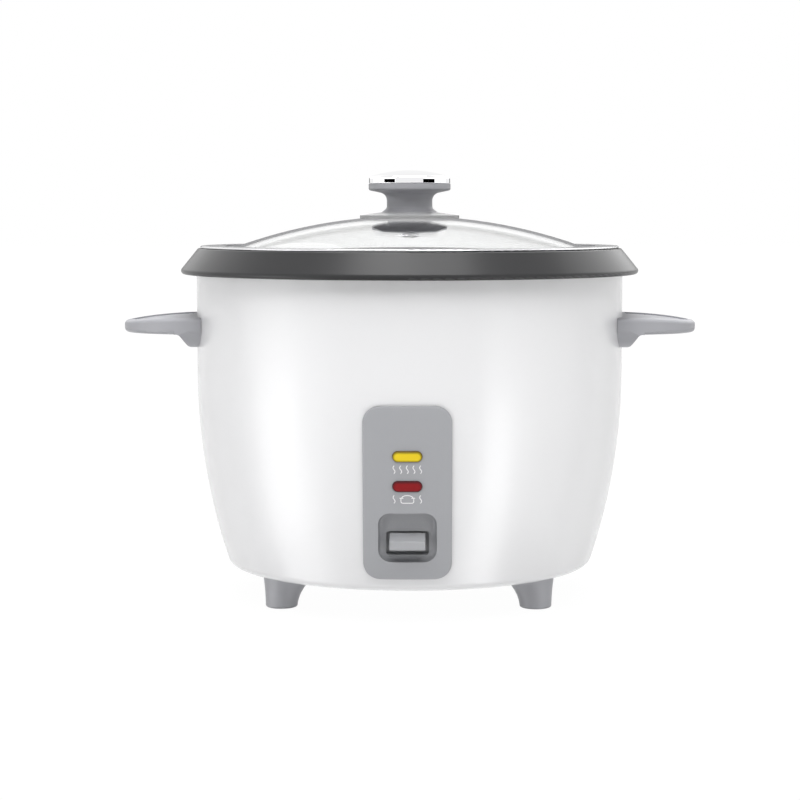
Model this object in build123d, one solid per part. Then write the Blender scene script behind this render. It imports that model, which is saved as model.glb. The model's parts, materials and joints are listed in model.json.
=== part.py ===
from build123d import *
import math
import os

# Drum-type rice cooker, in millimetres. The origin is on the drum's axis at the surface it stands on.
# +X is to the right of someone facing the control panel, the panel is at -Y, and +Z is up.

# ---- Driving dimensions ----------------------------------------------------------------------

# Drum
body_radius = 130.0
foot_height = 17.8
drum_height = 190.3
straight_height = 72.6
taper_radius = 370.0
bottom_corner_radius = 6.2
top_corner_radius = 2.5
shell_wall = 0.8

# Base cover
cover_wall = 1.0
cover_edge_clearance = 1.0
vent_count = 24
vent_length = 18.0
vent_width = 3.0
vent_inset = 34.9

# Cooking pot and its flared rim
pot_wall = 1.6
mouth_inset = 11.5
pot_draft = 11.0
pot_corner_radius = 28.0
mouth_corner_radius = 3.0
rim_seat_gap = 1.1
ledge_inset = 0.9
ledge_corner_radius = 1.2
skirt_overhang = 9.4
skirt_drop = 15.4
skirt_roll_radius = 2.0

# Inner liner
liner_wall = 0.6
liner_gap = 1.8
liner_corner_radius = 20.0
liner_flange_width = 4.0
compartment_height = 45.7
mouth_clearance = 0.9

# Heating plate, its cast-in element and its posts
plate_radius = 84.0
plate_thickness = 10.0
plate_edge_radius = 2.0
plate_bore_radius = 16.0
element_inset = 21.0
element_width = 10.0
element_height = 6.0
post_height = 5.4
post_radius = 5.0
post_circle_radius = 42.0
post_count = 3
post_start_angle = 90.0
plate_screw_radius = 2.0
plate_screw_grip = 4.0
terminal_radius = 2.0
terminal_length = 18.0
terminal_spacing = 20.0
bush_wall = 2.0
bush_drop = 2.0

# Thermostat
cap_clearance = 0.9
cap_wall = 0.8
cap_height = 14.7
cap_flange_width = 2.4
cap_travel = 2.5
pot_touch_gap = 0.3
ferrite_radius = 11.5
ferrite_thickness = 4.0
magnet_thickness = 6.0
magnet_radius = 12.0
magnet_stem_radius = 3.0
magnet_stem_length = 24.0
collar_radius = 6.0
collar_thickness = 2.0
guide_wall = 0.8
guide_height = 18.0
guide_clearance = 0.8
guide_flange_width = 7.0
spring_wire = 0.9
spring_gap = 0.3
sensor_spring_turns = 4
magnet_spring_turns = 5

# Lid
lid_clearance = 1.7
band_sheet = 0.8
band_ledge_inset = 1.5
band_height = 1.5
band_lip_width = 2.6
glass_thickness = 4.0
glass_seat_clearance = 0.1
glass_flange_width = 9.4
dome_rise = 18.8
dome_blend_radius = 12.0
glass_hole_radius = 14.2
vent_offset = 62.0
vent_hole_radius = 3.2
vent_wall = 1.2
vent_flange_width = 2.2
vent_flange_thickness = 0.8
vent_sag = 0.05

# Knob
knob_neck_radius = 13.9
knob_foot_radius = 17.2
knob_foot_flare = 2.6
knob_cove_radius = 5.0
knob_flange_radius = 25.0
knob_flange_height = 3.8
knob_flange_edge_radius = 1.3
knob_cove_rise = 2.3
knob_height = 17.3
knob_spigot_height = 2.4
crown_radius = 24.75
crown_height = 8.3
crown_edge_height = 4.3
crown_edge_radius = 2.0
crown_hem_radius = 0.6
crown_sheet = 1.0
knob_base_radius = 30.3
knob_base_height = 2.2
knob_base_edge = 1.9
knob_boss_clearance = 0.3
gasket_radius = 23.1
gasket_thickness = 2.4
washer_taper = 6.5
washer_thickness = 3.0
washer_web = 0.8
washer_bore_clearance = 0.5
knob_screw_radius = 2.4
knob_screw_head_radius = 5.0
knob_screw_head_height = 2.1
knob_screw_grip = 12.0
drive_length = 5.0
drive_width = 1.0
drive_depth = 1.2

# Side handles
handle_reach = 45.0
handle_half_width = 40.0
handle_root_depth = 6.0
handle_dish_radius = 0.4
handle_drop = 38.2
handle_thickness = 10.2
handle_tip_drop = 3.2
handle_wall = 2.6
handle_edge_radius = 2.6
handle_dish_depth = 0.9
handle_dish_border = 4.5
handle_root_height = 18.3
handle_root_thickness = 2.2
handle_root_corner = 14.0
handle_root_radius = 3.0
handle_root_slope = 5.4
handle_root_blend = 3.0
handle_angle = 90.0
handle_screw_spacing = 40.0
handle_screw_length = 6.0

# Control panel
panel_width = 50.0
panel_height = 100.0
panel_centre_height = 58.0
panel_corner_radius = 9.6
panel_rise = 1.8
panel_edge_radius = 0.8
panel_screw_upper = 39.5
panel_screw_lower = 46.3
panel_boss_radius = 2.8
panel_boss_stand = 2.0
recess_width = 33.0
recess_height = 29.6
recess_corner_radius = 7.0
recess_depth = 5.2
recess_dish_radius = 3.0
recess_drop = 24.9
recess_wall = 1.8
slot_width = 24.1
slot_height = 14.3
slot_drop = 4.9
slot_corner_radius = 1.5

# Indicator lenses and lamps
lens_width = 16.8
lens_height = 6.2
lens_clearance = 0.1
lens_proud = 0.7
lens_edge_radius = 1.2
lens_flange_border = 1.6
warm_lens_rise = 21.8
cook_lens_rise = 4.8
lamp_radius = 2.2
lamp_length = 14.0
lamp_wall = 1.2
lamp_window_border = 1.0
lamp_holder_border = 4.0

# Cook lever
key_width = 20.2
key_height = 9.1
key_proud = 2.8
key_depth = 17.0
key_rise = 1.45
key_scoop_depth = 6.4
key_scoop_drop = 4.0
key_scoop_sag = 0.5
key_edge_radius = 0.7
key_socket_depth = 8.0
shield_thickness = 1.4
shield_gap = 1.9
shield_border = 1.5
shield_clearance = 0.1
lever_width = 14.0
lever_thickness = 2.0
pivot_inset = 70.0
pivot_pin_radius = 2.0
pivot_clearance = 0.15
pivot_barrel_wall = 2.0
lever_travel_deg = 3.3
fork_clearance = 0.8
fork_overhang = 9.0
bracket_sheet = 1.2
bracket_gap = 1.0
bracket_cheek_length = 18.0
bracket_border = 12.0
bracket_screw_inset = 6.0
bracket_top_rise = 5.0
collar_gap = 0.5

# Switch
switch_width = 14.0
switch_depth = 18.0
switch_height = 20.0
switch_lever_arm = 30.0
plunger_radius = 2.0
plunger_clearance = 0.2
plunger_bore_depth = 10.0
tab_width = 4.0
tab_length = 7.0
tab_thickness = 0.8
tab_pitch = 6.0

# Feet
foot_inset = 12.8
foot_angle = 50.0
foot_radius = 9.4
foot_flare = 5.5
foot_lean = 5.2
foot_base_gap = 0.3
foot_edge_radius = 1.4
foot_collar_height = 4.0
foot_screw_shift = 4.9
foot_web_height = 5.5
foot_flange_width = 9.0
pad_radius = 6.6
pad_thickness = 2.2
pad_clearance = 0.1

# Power inlet
inlet_height = 31.7
inlet_flange_width = 48.0
inlet_flange_height = 28.0
inlet_flange_corner = 6.0
inlet_rise = 2.4
inlet_mouth_width = 24.4
inlet_mouth_height = 17.0
inlet_mouth_corner = 2.5
inlet_depth = 16.0
inlet_wall = 2.0
inlet_pin_spacing = 14.0
inlet_pin_width = 2.0
inlet_pin_height = 4.0
inlet_pin_length = 14.0
inlet_tail_length = 6.0
inlet_pin_drop = 2.0
inlet_earth_rise = 4.5
inlet_head_sink = 1.0
inlet_screw_spacing = 38.0

# Small screws
screw_radius = 1.6
screw_head_radius = 3.1
screw_head_height = 2.0
screw_clearance = 0.2
washer_head_radius = 4.2

# Leads, thermal fuse and keep-warm band
lead_radius = 1.2
lead_bend_radius = 5.0
lead_side = 46.0
fuse_lead_side = 30.0
fuse_radius = 2.2
fuse_length = 20.0
fuse_offset = 36.0
fuse_clip_width = 6.0
fuse_clip_sheet = 0.8
fuse_clip_foot = 5.0
warm_band_height = 24.0
warm_band_rise = 62.0
warm_band_thickness = 1.0
warm_band_gap = 0.3

# Clearance between pieces that move past each other
running_gap = 0.3

# ---- Levels and radii that follow from them --------------------------------------------------

body_bottom = foot_height
floor_top = body_bottom + shell_wall
cover_top = floor_top + cover_wall
shell_top = body_bottom + drum_height
shell_inner_top = shell_top - shell_wall
taper_start = shell_top - straight_height
taper_centre = body_radius - taper_radius

liner_floor = body_bottom + compartment_height
liner_floor_top = liner_floor + liner_wall
element_bottom = liner_floor_top + post_height
plate_bottom = element_bottom + element_height
plate_top = plate_bottom + plate_thickness
element_radius = plate_radius - element_inset

rim_underside = shell_top + rim_seat_gap
rim_top = rim_underside + pot_wall
mouth_radius = body_radius - mouth_inset
ledge_radius = body_radius - ledge_inset
skirt_radius = body_radius + skirt_overhang
skirt_bottom = rim_top - skirt_drop

band_radius = ledge_radius - band_ledge_inset
band_skirt_radius = mouth_radius - lid_clearance
band_top = rim_top + band_height
glass_flange_top = band_top - band_sheet
glass_flange_bottom = glass_flange_top - glass_thickness
glass_edge_radius = band_skirt_radius - band_sheet - glass_seat_clearance
dome_foot_radius = glass_edge_radius - glass_flange_width
dome_radius = (dome_foot_radius ** 2 + dome_rise ** 2) / (2 * dome_rise)
dome_top = glass_flange_top + dome_rise
dome_centre = dome_top - dome_radius
glass_underside = dome_top - glass_thickness
gasket_bottom = glass_underside - gasket_thickness
washer_bottom = gasket_bottom - washer_thickness
screw_seat = gasket_bottom - washer_web
knob_seat = dome_top + knob_base_height
knob_rim_top = knob_seat + knob_height

cap_radius = plate_bore_radius - cap_clearance
cap_top = plate_top - pot_touch_gap
cap_bottom = cap_top - cap_height
cap_inner_top = cap_top - cap_wall
cap_inner_radius = cap_radius - cap_wall
cap_flange_radius = cap_radius + cap_flange_width
guide_inner_radius = cap_flange_radius + guide_clearance
guide_radius = guide_inner_radius + guide_wall
guide_bottom = plate_bottom - guide_height
ferrite_bottom = cap_inner_top - ferrite_thickness

pivot_depth = body_radius - pivot_inset
lever_rise = math.tan(math.radians(lever_travel_deg)) * pivot_depth
magnet_top = ferrite_bottom - running_gap - lever_rise
magnet_bottom = magnet_top - magnet_thickness
magnet_flange_bottom = magnet_bottom - cap_wall


def body_radius_at(height):
    """Radius of the drum's outer surface at a height on its wall."""
    drop = max(0.0, taper_start - height)
    return taper_centre + math.sqrt(taper_radius ** 2 - drop ** 2)


def pot_outer_radius_at(height):
    """Radius of the pot's drafted outer wall at a height."""
    return mouth_radius + pot_wall - (rim_top - height) * pot_draft / (rim_top - plate_top)


def liner_inner_radius_at(height):
    """Radius of the liner's inner wall, which runs beside the pot's."""
    return pot_outer_radius_at(height) + liner_gap


def liner_outer_radius_at(height):
    """Radius of the liner's outer wall at a height."""
    return liner_inner_radius_at(height) + liner_wall


def dome_height_at(radius, depth=0.0):
    """Height of the glass dome at a radius, on its outer face or a depth below it."""
    return dome_centre + math.sqrt((dome_radius - depth) ** 2 - radius ** 2)


def surface_plane(height, azimuth=0.0):
    """Plane tangent to the drum at a height: z outward, x level, azimuth 0 at the control panel."""
    angle = math.radians(azimuth)
    tilt = math.asin(max(0.0, taper_start - height) / taper_radius)
    outward = Vector(math.sin(angle), -math.cos(angle), 0)
    origin = outward * body_radius_at(height) + Vector(0, 0, height)
    normal = outward * math.cos(tilt) - Vector(0, 0, math.sin(tilt))
    return Plane(origin=origin, x_dir=Vector(math.cos(angle), math.sin(angle), 0), z_dir=normal)


floor_tilt = math.asin((taper_start - body_bottom) / taper_radius)
corner_half_turn = (math.pi / 2 - floor_tilt) / 2
floor_flat_radius = body_radius_at(body_bottom) - bottom_corner_radius * math.tan(corner_half_turn)
cover_radius = floor_flat_radius - cover_edge_clearance
foot_circle_radius = body_radius_at(body_bottom) - foot_inset
foot_screw_circle = foot_circle_radius - foot_screw_shift
foot_screw_seat = body_bottom - foot_web_height
floor_opening_radius = foot_screw_circle - foot_flange_width
shell_mouth_radius = liner_outer_radius_at(shell_inner_top) + mouth_clearance

panel_mid = body_bottom + panel_centre_height
recess_plane = surface_plane(panel_mid - recess_drop)
recess_floor = panel_rise - recess_depth
panel_screw_heights = [panel_mid + panel_screw_upper, panel_mid - panel_screw_lower]
panel_screw_planes = [surface_plane(height) for height in panel_screw_heights]
lens_heights = {"warm_lens": panel_mid + warm_lens_rise, "cook_lens": panel_mid + cook_lens_rise}
slot_centre = recess_plane.from_local_coords(Vector(0, -slot_drop, recess_floor))
lever_height = slot_centre.Z + key_rise
key_front = -(body_radius_at(lever_height) + panel_rise + key_proud)
lamp_front = -(body_radius_at(lens_heights["cook_lens"]) - shell_wall - lens_flange_border)

inlet_middle = body_bottom + inlet_height
inlet_plane = surface_plane(inlet_middle, 180)
inlet_floor = inlet_rise - inlet_depth
inlet_screw_turn = math.degrees(math.asin(inlet_screw_spacing / 2 / body_radius_at(inlet_middle)))
inlet_screw_planes = [surface_plane(inlet_middle, 180 + side * inlet_screw_turn) for side in (-1, 1)]

handle_top = shell_top - handle_drop
handle_bottom = handle_top - handle_thickness
handle_tip = body_radius + handle_reach
handle_screw_turn = math.degrees(math.asin(handle_screw_spacing / 2 / body_radius))


# ---- Shape helpers ---------------------------------------------------------------------------

def outline(*corners):
    """Face through (x, y) or (x, y, corner radius) points."""
    points = [(corner[0], corner[1]) for corner in corners]
    radii = [corner[2] if len(corner) > 2 else 0.0 for corner in corners]
    return make_face(FilletPolyline(*points, radius=radii, close=True))


def turned(*corners):
    """Solid of revolution about the vertical axis from (r, z) or (r, z, corner radius) points."""
    return revolve(Plane.XZ * outline(*corners), axis=Axis.Z)


def upright(radius, low, high, x=0.0, y=0.0):
    """Vertical round bar between two heights."""
    return Pos(x, y, low) * Cylinder(radius, high - low, align=(Align.CENTER, Align.CENTER, Align.MIN))


def block(low, high):
    """Box between two opposite corners."""
    size = [b - a for a, b in zip(low, high)]
    return Pos(*low) * Box(*size, align=(Align.MIN, Align.MIN, Align.MIN))


def bar_on(plane, radius, start, end, x=0.0, y=0.0):
    """Round bar along a plane's normal, from one distance to another."""
    rod = Cylinder(radius, end - start, align=(Align.CENTER, Align.CENTER, Align.MIN))
    return plane * Pos(x, y, start) * rod


def slab_on(plane, face, start, end):
    """Face drawn on a plane and extruded between two distances along its normal."""
    return extrude(plane * Pos(0, 0, start) * face, amount=end - start, dir=plane.z_dir)


def ring_of(count, piece, first=0.0):
    """Copies of a piece evenly spaced about the vertical axis."""
    return [Rot(0, 0, first + index * 360.0 / count) * piece for index in range(count)]


def at_posts(radius, low, high):
    """Upright bars of one radius at the heating plate's three posts."""
    return ring_of(post_count, upright(radius, low, high, post_circle_radius), post_start_angle)


def at_foot(radius, azimuth):
    """Point at a radius in the direction of one foot."""
    angle = math.radians(azimuth)
    return radius * math.sin(angle), -radius * math.cos(angle)


foot_azimuths = {
    "front_left": -foot_angle,
    "front_right": foot_angle,
    "rear_left": 180 + foot_angle,
    "rear_right": 180 - foot_angle,
}


def body_solid(offset):
    """The drum as a full solid, its surface moved outward by an offset."""
    radius = body_radius + offset
    arc = taper_radius + offset
    low = body_bottom - offset
    high = shell_top + offset
    drop = taper_start - low
    corner = (taper_centre + math.sqrt(arc ** 2 - drop ** 2), low)
    middle = (taper_centre + math.sqrt(arc ** 2 - (drop / 2) ** 2), taper_start - drop / 2)
    wall = ThreePointArc(corner, middle, (radius, taper_start))
    rest = Polyline((radius, taper_start), (radius, high), (0, high), (0, low), corner)
    face = make_face([*wall.edges(), *rest.edges()])
    bottom = face.vertices().sort_by_distance(Vector(*corner))[0]
    face = fillet(bottom, bottom_corner_radius + offset)
    top = face.vertices().sort_by_distance(Vector(radius, high))[0]
    face = fillet(top, top_corner_radius + offset)
    return revolve(Plane.XZ * face, axis=Axis.Z)


body_outer = body_solid(0.0)
body_inner = body_solid(-shell_wall)


# ---- Drum, liner and base cover --------------------------------------------------------------

def handle_screw_planes(side):
    """Tangent planes at one handle's two screws: side is -1 at the left, 1 at the right."""
    return [surface_plane(handle_bottom, side * handle_angle + end * handle_screw_turn) for end in (-1, 1)]


def lamp_opening():
    """Rounded opening in the drum behind both lenses."""
    border = lens_flange_border + lamp_window_border
    low = lens_heights["cook_lens"] - lens_height / 2 - border
    high = lens_heights["warm_lens"] + lens_height / 2 + border
    face = RectangleRounded(lens_width + 2 * border, high - low, lens_height / 2)
    return slab_on(Plane.XZ, Pos(0, (low + high) / 2) * face, -lamp_front, body_radius + panel_rise)


def outer_shell():
    """Sheet-metal drum with its turned-in top and floor flanges and its openings."""
    shell = body_outer - body_inner
    shell -= upright(shell_mouth_radius, shell_inner_top - shell_wall, shell_top + shell_wall)
    shell -= upright(floor_opening_radius, 0, floor_top + shell_wall)
    pocket = RectangleRounded(
        recess_width + 2 * (recess_wall + running_gap),
        recess_height + 2 * (recess_wall + running_gap),
        recess_corner_radius + recess_wall + running_gap,
    )
    shell -= slab_on(recess_plane, pocket, -panel_width / 2, panel_rise)
    shell -= lamp_opening()
    for plane in panel_screw_planes:
        shell -= bar_on(plane, panel_boss_radius + running_gap, -washer_head_radius, panel_rise)
    housing = RectangleRounded(
        inlet_mouth_width + 2 * (inlet_wall + running_gap),
        inlet_mouth_height + 2 * (inlet_wall + running_gap),
        inlet_mouth_corner + inlet_wall,
    )
    shell -= slab_on(inlet_plane, housing, -inlet_depth, inlet_depth)
    for plane in inlet_screw_planes:
        shell -= bar_on(plane, screw_radius, -washer_head_radius, washer_head_radius)
    for plane in handle_screw_planes(-1) + handle_screw_planes(1):
        shell -= bar_on(plane, screw_radius + screw_clearance, -washer_head_radius, washer_head_radius)
    for azimuth in foot_azimuths.values():
        x, y = at_foot(foot_screw_circle, azimuth)
        shell -= upright(screw_radius + screw_clearance, 0, floor_top + shell_wall, x, y)
    return shell


def inner_liner():
    """Bright metal cup inside the drum that carries the heating plate, hung by its flange."""
    flange_low = shell_inner_top - liner_wall
    flange_radius = liner_outer_radius_at(shell_inner_top) + liner_flange_width
    liner = turned(
        (0, liner_floor),
        (liner_outer_radius_at(liner_floor), liner_floor, liner_corner_radius + liner_wall),
        (liner_outer_radius_at(flange_low), flange_low),
        (flange_radius, flange_low),
        (flange_radius, shell_inner_top),
        (liner_inner_radius_at(shell_inner_top), shell_inner_top),
        (liner_inner_radius_at(liner_floor_top), liner_floor_top, liner_corner_radius),
        (0, liner_floor_top),
    )
    liner -= upright(guide_radius + screw_clearance, liner_floor, liner_floor_top)
    for side in (-1, 1):
        liner -= upright(terminal_radius + bush_wall, liner_floor, liner_floor_top, *terminal_place(side))
    for hole in at_posts(plate_screw_radius, liner_floor, liner_floor_top):
        liner -= hole
    return liner


def base_cover():
    """Disc that closes the drum's floor from inside, with a ring of vent slots."""
    cover = upright(cover_radius, floor_top, cover_top)
    slot = extrude(SlotOverall(vent_length, vent_width), amount=cover_wall)
    for cut in ring_of(vent_count, Pos(cover_radius - vent_inset, 0, floor_top) * slot):
        cover -= cut
    for azimuth in foot_azimuths.values():
        cover -= upright(screw_radius, floor_top, cover_top, *at_foot(foot_screw_circle, azimuth))
    for x, y in bracket_screw_places():
        cover -= upright(screw_radius, floor_top, cover_top, x, y)
    return cover


# ---- Feet ------------------------------------------------------------------------------------

def foot_form():
    """One foot on the +X axis: round at the floor, flaring inward to meet the drum's rounded bottom."""
    sections = []
    for level in (foot_base_gap, body_bottom / 3, body_bottom * 2 / 3, body_bottom * 5 / 6, body_bottom):
        flare = (level / body_bottom) ** 2
        place = Pos(foot_circle_radius - foot_lean * flare, 0, level)
        sections.append(place * Circle(foot_radius + foot_flare * flare))
    foot = loft(sections)
    sole = foot.edges().sort_by(Axis.Z)[0]
    foot = fillet(sole, foot_edge_radius)
    collar_x = foot_circle_radius - foot_lean
    foot += upright(foot_radius + foot_flare, body_bottom, body_bottom + foot_collar_height, collar_x)
    foot -= body_outer
    foot -= upright(pad_radius + pad_clearance, 0, pad_thickness, foot_circle_radius)
    foot -= upright(screw_head_radius + screw_clearance, 0, foot_screw_seat, foot_screw_circle)
    return foot - upright(screw_radius + screw_clearance, 0, body_bottom, foot_screw_circle)


def foot_pad_form():
    """Rubber pad pressed into the foot's underside."""
    return upright(pad_radius, 0, pad_thickness, foot_circle_radius)


def foot_screw_form():
    """Screw from inside the foot, through the drum's floor flange, into the base cover."""
    low = foot_screw_seat - screw_head_height
    head = upright(screw_head_radius, low, foot_screw_seat, foot_screw_circle)
    return head + upright(screw_radius, foot_screw_seat, cover_top + screw_head_height, foot_screw_circle)


def at_feet(piece):
    """Copies of a piece drawn on the +X axis, one at each foot."""
    return {name: Rot(0, 0, azimuth - 90) * piece for name, azimuth in foot_azimuths.items()}


# ---- Cooking pot -----------------------------------------------------------------------------

def inner_pot():
    """Coated aluminium pot: drafted wall, flat ledge for the lid, conical skirt with a rolled edge."""
    base_radius = pot_outer_radius_at(plate_top)
    roll = (skirt_radius - skirt_roll_radius, skirt_bottom + skirt_roll_radius)
    run = roll[0] - ledge_radius
    fall = rim_top - roll[1]
    slope = math.atan2(fall, run) - math.asin(skirt_roll_radius / math.hypot(run, fall))
    length = math.sqrt(run ** 2 + fall ** 2 - skirt_roll_radius ** 2)
    hem = (ledge_radius + length * math.cos(slope), rim_top - length * math.sin(slope))
    hem_inside = (hem[0] - pot_wall * math.sin(slope), hem[1] - pot_wall * math.cos(slope))
    knee_radius = hem_inside[0] - (rim_underside - hem_inside[1]) / math.tan(slope)
    pot = turned(
        (0, plate_top),
        (base_radius, plate_top, pot_corner_radius),
        (pot_outer_radius_at(rim_underside), rim_underside, mouth_corner_radius - pot_wall),
        (knee_radius, rim_underside),
        hem_inside,
        hem,
        (ledge_radius, rim_top, ledge_corner_radius),
        (mouth_radius, rim_top, mouth_corner_radius),
        (base_radius - pot_wall, plate_top + pot_wall, pot_corner_radius - pot_wall),
        (0, plate_top + pot_wall),
    )
    return pot + revolve(Plane.XZ * Pos(*roll) * Circle(skirt_roll_radius), axis=Axis.Z)


# ---- Lid -------------------------------------------------------------------------------------

def dome_plane(radius, azimuth):
    """Plane tangent to the glass dome: z along the outward normal."""
    angle = math.radians(azimuth)
    height = dome_height_at(radius)
    origin = Vector(radius * math.sin(angle), -radius * math.cos(angle), height)
    normal = origin - Vector(0, 0, dome_centre)
    return Plane(origin=origin, x_dir=Vector(math.cos(angle), math.sin(angle), 0), z_dir=normal)


def lid_glass():
    """Pressed glass dome with a flat flange, a knob hole and a vent hole."""
    inner_dome = dome_radius - glass_thickness
    inner_foot = math.sqrt(inner_dome ** 2 - (glass_flange_bottom - dome_centre) ** 2)
    outer_middle = (dome_foot_radius + glass_hole_radius) / 2
    inner_middle = (inner_foot + glass_hole_radius) / 2
    crown = (glass_hole_radius, dome_height_at(glass_hole_radius))
    throat = (glass_hole_radius, dome_height_at(glass_hole_radius, glass_thickness))
    over_middle = (outer_middle, dome_height_at(outer_middle))
    top = ThreePointArc(crown, over_middle, (dome_foot_radius, glass_flange_top))
    edge = Polyline(
        (dome_foot_radius, glass_flange_top),
        (glass_edge_radius, glass_flange_top),
        (glass_edge_radius, glass_flange_bottom),
        (inner_foot, glass_flange_bottom),
    )
    under_middle = (inner_middle, dome_height_at(inner_middle, glass_thickness))
    under = ThreePointArc((inner_foot, glass_flange_bottom), under_middle, throat)
    face = make_face([*top.edges(), *edge.edges(), *under.edges(), Line(throat, crown).edge()])
    outer_corner = face.vertices().sort_by_distance(Vector(dome_foot_radius, glass_flange_top))[0]
    face = fillet(outer_corner, dome_blend_radius)
    inner_corner = face.vertices().sort_by_distance(Vector(inner_foot, glass_flange_bottom))[0]
    face = fillet(inner_corner, dome_blend_radius + glass_thickness)
    glass = revolve(Plane.XZ * face, axis=Axis.Z)
    vent_plane = dome_plane(vent_offset, 180)
    return glass - bar_on(vent_plane, vent_hole_radius, -2 * glass_thickness, glass_thickness)


def lid_rim_band():
    """Steel ring rolled round the glass edge, with a flange for the pot's ledge and a locating skirt."""
    lip_radius = glass_edge_radius - band_lip_width
    return turned(
        (lip_radius, glass_flange_top),
        (lip_radius, band_top),
        (band_radius, band_top, band_height * 0.45),
        (band_radius, rim_top, band_height * 0.45),
        (band_skirt_radius, rim_top),
        (band_skirt_radius, glass_flange_bottom - band_sheet, band_sheet / 2),
        (lip_radius, glass_flange_bottom - band_sheet),
        (lip_radius, glass_flange_bottom),
        (glass_edge_radius + glass_seat_clearance, glass_flange_bottom),
        (glass_edge_radius + glass_seat_clearance, glass_flange_top),
    )


def vent_eyelet():
    """Steel eyelet clinched through the glass behind the knob."""
    plane = dome_plane(vent_offset, 180)
    flange_radius = vent_hole_radius + vent_flange_width
    lower = -glass_thickness - vent_sag - vent_flange_thickness
    eyelet = bar_on(plane, vent_hole_radius, lower, vent_flange_thickness)
    eyelet += bar_on(plane, flange_radius, 0, vent_flange_thickness)
    eyelet += bar_on(plane, flange_radius, lower, lower + vent_flange_thickness)
    return eyelet - bar_on(plane, vent_hole_radius - vent_wall, lower, vent_flange_thickness)


def spun(*runs):
    """Solid of revolution inside a closed chain of lines and arcs drawn as (r, z)."""
    edges = [edge for run in runs for edge in run.edges()]
    return revolve(Plane.XZ * make_face(edges), axis=Axis.Z)


def dome_arc(start, end, depth=0.0):
    """Arc along the glass dome between two radii, on its outer face or a depth below it."""
    radii = (start, (start + end) / 2, end)
    return ThreePointArc(*[(radius, dome_height_at(radius, depth)) for radius in radii])


def knob_base():
    """Conical disc on the glass with a boss through the knob hole."""
    boss_radius = glass_hole_radius - knob_boss_clearance
    edge_foot = dome_height_at(knob_base_radius)
    boss_foot = dome_height_at(glass_hole_radius, glass_thickness)
    run = Polyline(
        (knob_base_radius, edge_foot),
        (knob_base_radius, edge_foot + knob_base_edge),
        (knob_foot_radius, knob_seat),
        (knob_screw_radius, knob_seat),
        (knob_screw_radius, boss_foot),
        (boss_radius, boss_foot),
        (boss_radius, dome_height_at(boss_radius)),
    )
    return spun(dome_arc(boss_radius, knob_base_radius), run)


def lid_knob():
    """Grey plastic knob: flared foot, narrow neck, cove and wide flange, with a spigot in the crown."""
    cove_low = knob_rim_top - knob_flange_height - knob_cove_rise
    spigot_radius = crown_radius - crown_sheet - screw_clearance
    spigot_top = knob_rim_top + knob_spigot_height
    knob = turned(
        (0, knob_seat),
        (knob_foot_radius, knob_seat),
        (knob_neck_radius, knob_seat + knob_foot_flare, knob_foot_flare),
        (knob_neck_radius, cove_low, knob_cove_radius),
        (knob_flange_radius, cove_low + knob_cove_rise, knob_flange_edge_radius),
        (knob_flange_radius, knob_rim_top),
        (spigot_radius, knob_rim_top),
        (spigot_radius, spigot_top),
        (0, spigot_top),
    )
    return knob - upright(knob_screw_radius, knob_seat, knob_seat + knob_screw_grip)


def crown_arc(radius, apex, sphere):
    """Arc of the crown's dome from the axis out to a radius."""
    radii = (0, radius / 2, radius)
    return ThreePointArc(*[(r, apex - sphere + math.sqrt(sphere ** 2 - r ** 2)) for r in radii])


def knob_crown():
    """Chromed cap over the knob's flange."""
    rise = crown_height - crown_edge_height
    sphere = (crown_radius ** 2 + rise ** 2) / (2 * rise)
    apex = knob_rim_top + crown_height
    inner_radius = crown_radius - crown_sheet
    outer = crown_arc(crown_radius, apex, sphere)
    inner = crown_arc(inner_radius, apex - crown_sheet, sphere - crown_sheet)
    side = Polyline(outer @ 1, (crown_radius, knob_rim_top), (inner_radius, knob_rim_top), inner @ 1)
    face = make_face([*outer.edges(), *side.edges(), *inner.edges(), Line(inner @ 0, outer @ 0).edge()])
    corner = face.vertices().sort_by_distance(outer @ 1)[0]
    face = fillet(corner, crown_edge_radius)
    hem = face.vertices().sort_by_distance(Vector(crown_radius, knob_rim_top))[0]
    return revolve(Plane.XZ * fillet(hem, crown_hem_radius), axis=Axis.Z)


def knob_gasket():
    """Silicone gasket pressed against the glass from below."""
    boss_foot = dome_height_at(glass_hole_radius, glass_thickness)
    run = Polyline(
        (gasket_radius, dome_height_at(gasket_radius, glass_thickness)),
        (gasket_radius, gasket_bottom),
        (knob_screw_radius, gasket_bottom),
        (knob_screw_radius, boss_foot),
        (glass_hole_radius, boss_foot),
    )
    return spun(dome_arc(glass_hole_radius, gasket_radius, glass_thickness), run)


def knob_washer():
    """Tapered washer under the gasket, counterbored for the screw's head."""
    bore_radius = knob_screw_head_radius + washer_bore_clearance
    return turned(
        (bore_radius, washer_bottom),
        (gasket_radius - washer_taper, washer_bottom),
        (gasket_radius, gasket_bottom),
        (knob_screw_radius, gasket_bottom),
        (knob_screw_radius, screw_seat),
        (bore_radius, screw_seat),
    )


def knob_screw():
    """Screw up through the washer, the gasket and the base disc into the knob."""
    head_low = screw_seat - knob_screw_head_height
    screw = upright(knob_screw_head_radius, head_low, screw_seat)
    screw += upright(knob_screw_radius, screw_seat, knob_seat + knob_screw_grip)
    drive = extrude(RectangleRounded(drive_length, drive_width, drive_width / 3), amount=drive_depth)
    for angle in (45, 135):
        screw -= Pos(0, 0, head_low) * Rot(0, 0, angle) * drive
    return screw


# ---- Heating plate and thermostat ------------------------------------------------------------

def terminal_place(side):
    """Place of one heater terminal on the element ring, at the back."""
    x = side * terminal_spacing / 2
    return x, math.sqrt(element_radius ** 2 - x ** 2)


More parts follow.
